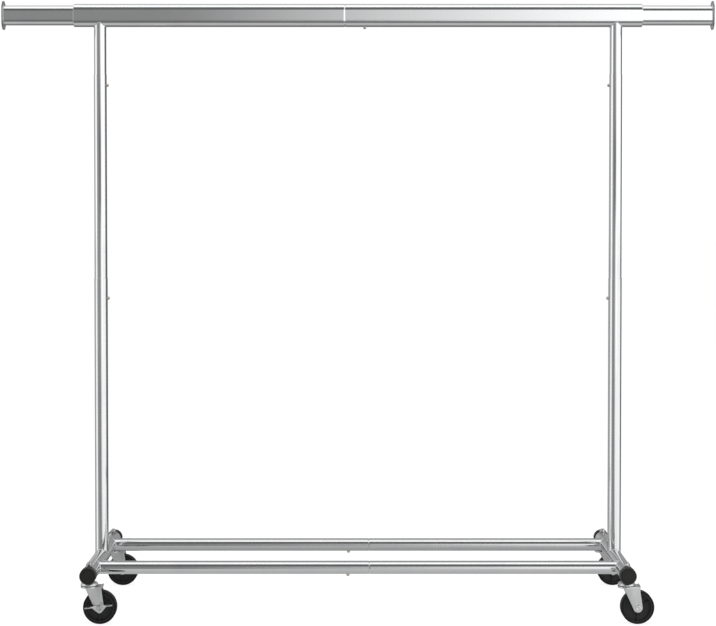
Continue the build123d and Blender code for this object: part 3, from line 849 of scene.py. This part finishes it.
# A grey room by angle round it, with a white panel on the left and a white wall on the right.
# 0 is the viewer's side and 90 the right.
wallLight = [
    (-180, room), (-100, room), (-90, bright), (-65, bright), (-55, room), (-10, dim),
    (10, bright), (90, bright), (105, dark), (150, dark), (180, room),
]
overLight = [(-180, dim), (0, dark), (75, dark), (115, dim), (180, dim)]  # 90 is overhead
floorLight = [(-2, dark), (-0.5, 0.9), (0, room), (0.3, dim), (2, dark)]  # in metres, along Y
softboxLight = [(0, bright), (0.4, bright), (1, 0.8)]  # from its front edge to its back edge
screenUpper = [(-9, room), (-3, dim), (-1, dim), (1.5, bright), (4, bright)]  # in metres, from left to right
screenLower = [(-9, room), (-3, dim), (-1, dark), (0, dark), (2, bright), (4, bright)]


def lightLevels(tree, position, stops):
    # The light along a line or round an angle. A ramp holds half of each level, and its shader doubles it.
    start, end = stops[0][0], stops[-1][0]
    share = addNode(tree, "ShaderNodeMapRange", None, {"Value": position, "From Min": start, "From Max": end})
    ramp = addNode(tree, "ShaderNodeValToRGB", None, {"Fac": share.outputs["Result"]})
    elements = ramp.color_ramp.elements
    for i, (at, level) in enumerate(stops):
        spot = (at - start) / (end - start)
        stop = elements[i] if i < 2 else elements.new(spot)
        stop.position = spot
        stop.color = (level / 2, level / 2, level / 2, 1)
    return ramp.outputs["Color"]


def fadeLight(tree, place, low, high, first, second):
    # The first light below low, the second above high, and a smooth fade between.
    share = addNode(
        tree, "ShaderNodeMapRange", {"interpolation_type": "SMOOTHSTEP"},
        {"Value": place, "From Min": low, "From Max": high},
    )
    return addNode(
        tree, "ShaderNodeMix", {"data_type": "RGBA"}, {0: share.outputs["Result"], 6: first, 7: second}
    ).outputs[2]


def buildWorld():
    # White behind the rack; the chrome sees the room.
    world = bpy.data.worlds.new("studio")
    bpy.context.scene.world = world
    world.use_nodes = True
    tree = world.node_tree
    tree.nodes.clear()
    way = addNode(tree, "ShaderNodeTexCoord").outputs["Generated"]
    axes = addNode(tree, "ShaderNodeSeparateXYZ", None, {"Vector": way}).outputs
    forward = addNode(tree, "ShaderNodeMath", {"operation": "MULTIPLY"}, {0: axes["Y"], 1: -1.0}).outputs[0]
    sideways = addNode(tree, "ShaderNodeMath", {"operation": "ABSOLUTE"}, {0: axes["X"]}).outputs[0]
    lights = []
    for rise, stops in ((axes["X"], wallLight), (axes["Z"], overLight)):
        angle = addNode(tree, "ShaderNodeMath", {"operation": "ARCTAN2"}, {0: rise, 1: forward})
        degrees = addNode(tree, "ShaderNodeMath", {"operation": "DEGREES"}, {0: angle.outputs[0]})
        lights.append(lightLevels(tree, degrees.outputs[0], stops))
    walls, over = lights
    # The walls stand about 12 degrees high in front and behind, and much higher at the sides.
    colour = fadeLight(tree, axes["Z"], 0.1, 0.24, walls, over)
    colour = fadeLight(tree, sideways, 0.35, 0.65, colour, walls)
    lit = addNode(tree, "ShaderNodeBackground", None, {"Color": colour, "Strength": 2.0})
    plain = addNode(
        tree, "ShaderNodeBackground", None, {"Color": (1, 1, 1, 1), "Strength": studioSet["whiteBehind"]}
    )
    seen = addNode(tree, "ShaderNodeLightPath").outputs["Is Camera Ray"]
    both = addNode(tree, "ShaderNodeMixShader", None, {0: seen, 1: lit.outputs[0], 2: plain.outputs[0]})
    addNode(tree, "ShaderNodeOutputWorld", None, {"Surface": both.outputs[0]})


def startStage(name):
    # A studio material, and the place on its surface.
    mat = bpy.data.materials.new(name)
    mat.use_nodes = True
    tree = mat.node_tree
    tree.nodes.clear()
    place = addNode(tree, "ShaderNodeTexCoord").outputs["Object"]
    axes = addNode(tree, "ShaderNodeSeparateXYZ", None, {"Vector": place}).outputs
    return mat, tree, axes


def stagePlane(name, points, mat, seen):
    mesh = bpy.data.meshes.new(name)
    mesh.from_pydata(points, [], [(0, 1, 2, 3)])
    mesh.materials.append(mat)
    obj = bpy.data.objects.new(name, mesh)
    bpy.context.scene.collection.objects.link(obj)
    obj.visible_camera = seen


def flatPoints(half, front, back, z):
    return [(-half, front, z), (half, front, z), (half, back, z), (-half, back, z)]


def buildFloor():
    # A pale polished floor with a pool of light round the rack, and a sheen at a slant.
    mat, tree, axes = startStage("polishedPaleFloor")
    pool = lightLevels(tree, axes["Y"], floorLight)
    own = addNode(tree, "ShaderNodeEmission", None, {"Color": pool, "Strength": 2.0})
    sheen = addNode(tree, "ShaderNodeBsdfGlossy", None, {"Color": (0.9, 0.9, 0.9, 1), "Roughness": 0.15})
    facing = addNode(tree, "ShaderNodeLayerWeight", None, {"Blend": 0.5}).outputs["Facing"]
    gloss = addNode(
        tree, "ShaderNodeMapRange", {"interpolation_type": "SMOOTHSTEP"},
        {"Value": facing, "From Min": studioSet["sheenFrom"], "From Max": studioSet["sheenFull"]},
    )
    polished = addNode(tree, "ShaderNodeMixShader", None, {
        0: gloss.outputs["Result"], 1: own.outputs[0], 2: sheen.outputs[0],
    })
    glow = addNode(
        tree, "ShaderNodeEmission", None, {"Color": (1, 1, 1, 1), "Strength": studioSet["paleFloor"]}
    )
    matt = addNode(tree, "ShaderNodeBsdfDiffuse", None, {"Color": (0.2, 0.2, 0.2, 1)})
    pale = addNode(tree, "ShaderNodeAddShader", None, {0: glow.outputs[0], 1: matt.outputs[0]})
    seen = addNode(tree, "ShaderNodeLightPath").outputs["Is Camera Ray"]
    both = addNode(tree, "ShaderNodeMixShader", None, {0: seen, 1: polished.outputs[0], 2: pale.outputs[0]})
    addNode(tree, "ShaderNodeOutputMaterial", None, {"Surface": both.outputs[0]})
    half = studioSet["floorHalf"]
    stagePlane("floor", flatPoints(half, -half, half, 0), mat, True)


def buildSoftbox():
    # A large light overhead, fading towards its back edge.
    mat, tree, axes = startStage("softboxGlow")
    front, back = studioSet["softboxFront"], studioSet["softboxBack"]
    along = addNode(
        tree, "ShaderNodeMapRange", None, {"Value": axes["Y"], "From Min": front, "From Max": back}
    ).outputs["Result"]
    glow = addNode(
        tree, "ShaderNodeEmission", None, {"Color": lightLevels(tree, along, softboxLight), "Strength": 2.0}
    )
    addNode(tree, "ShaderNodeOutputMaterial", None, {"Surface": glow.outputs[0]})
    points = flatPoints(studioSet["softboxHalf"], front, back, studioSet["softboxHeight"])
    stagePlane("softbox", points, mat, False)


def buildScreen():
    # A tall screen behind the viewer: dim on the left, white on the right, and darkest at waist height.
    mat, tree, axes = startStage("screenGlow")
    upper = lightLevels(tree, axes["X"], screenUpper)
    lower = lightLevels(tree, axes["X"], screenLower)
    # The dark part lies between 0.9 and 1.5 m.
    colour = fadeLight(tree, axes["Z"], 0.8, 1.0, upper, lower)
    colour = fadeLight(tree, axes["Z"], 1.2, 1.9, colour, upper)
    glow = addNode(tree, "ShaderNodeEmission", None, {"Color": colour, "Strength": 2.0})
    addNode(tree, "ShaderNodeOutputMaterial", None, {"Surface": glow.outputs[0]})
    left, right, y, top = (studioSet[key] for key in ("screenLeft", "screenRight", "screenY", "screenTop"))
    points = [(left, y, 0.01), (right, y, 0.01), (right, y, top), (left, y, top)]
    stagePlane("screen", points, mat, False)


buildWorld()
buildFloor()
buildSoftbox()
buildScreen()
bpy.context.scene.view_settings.view_transform = "Standard"
print("studio ready")
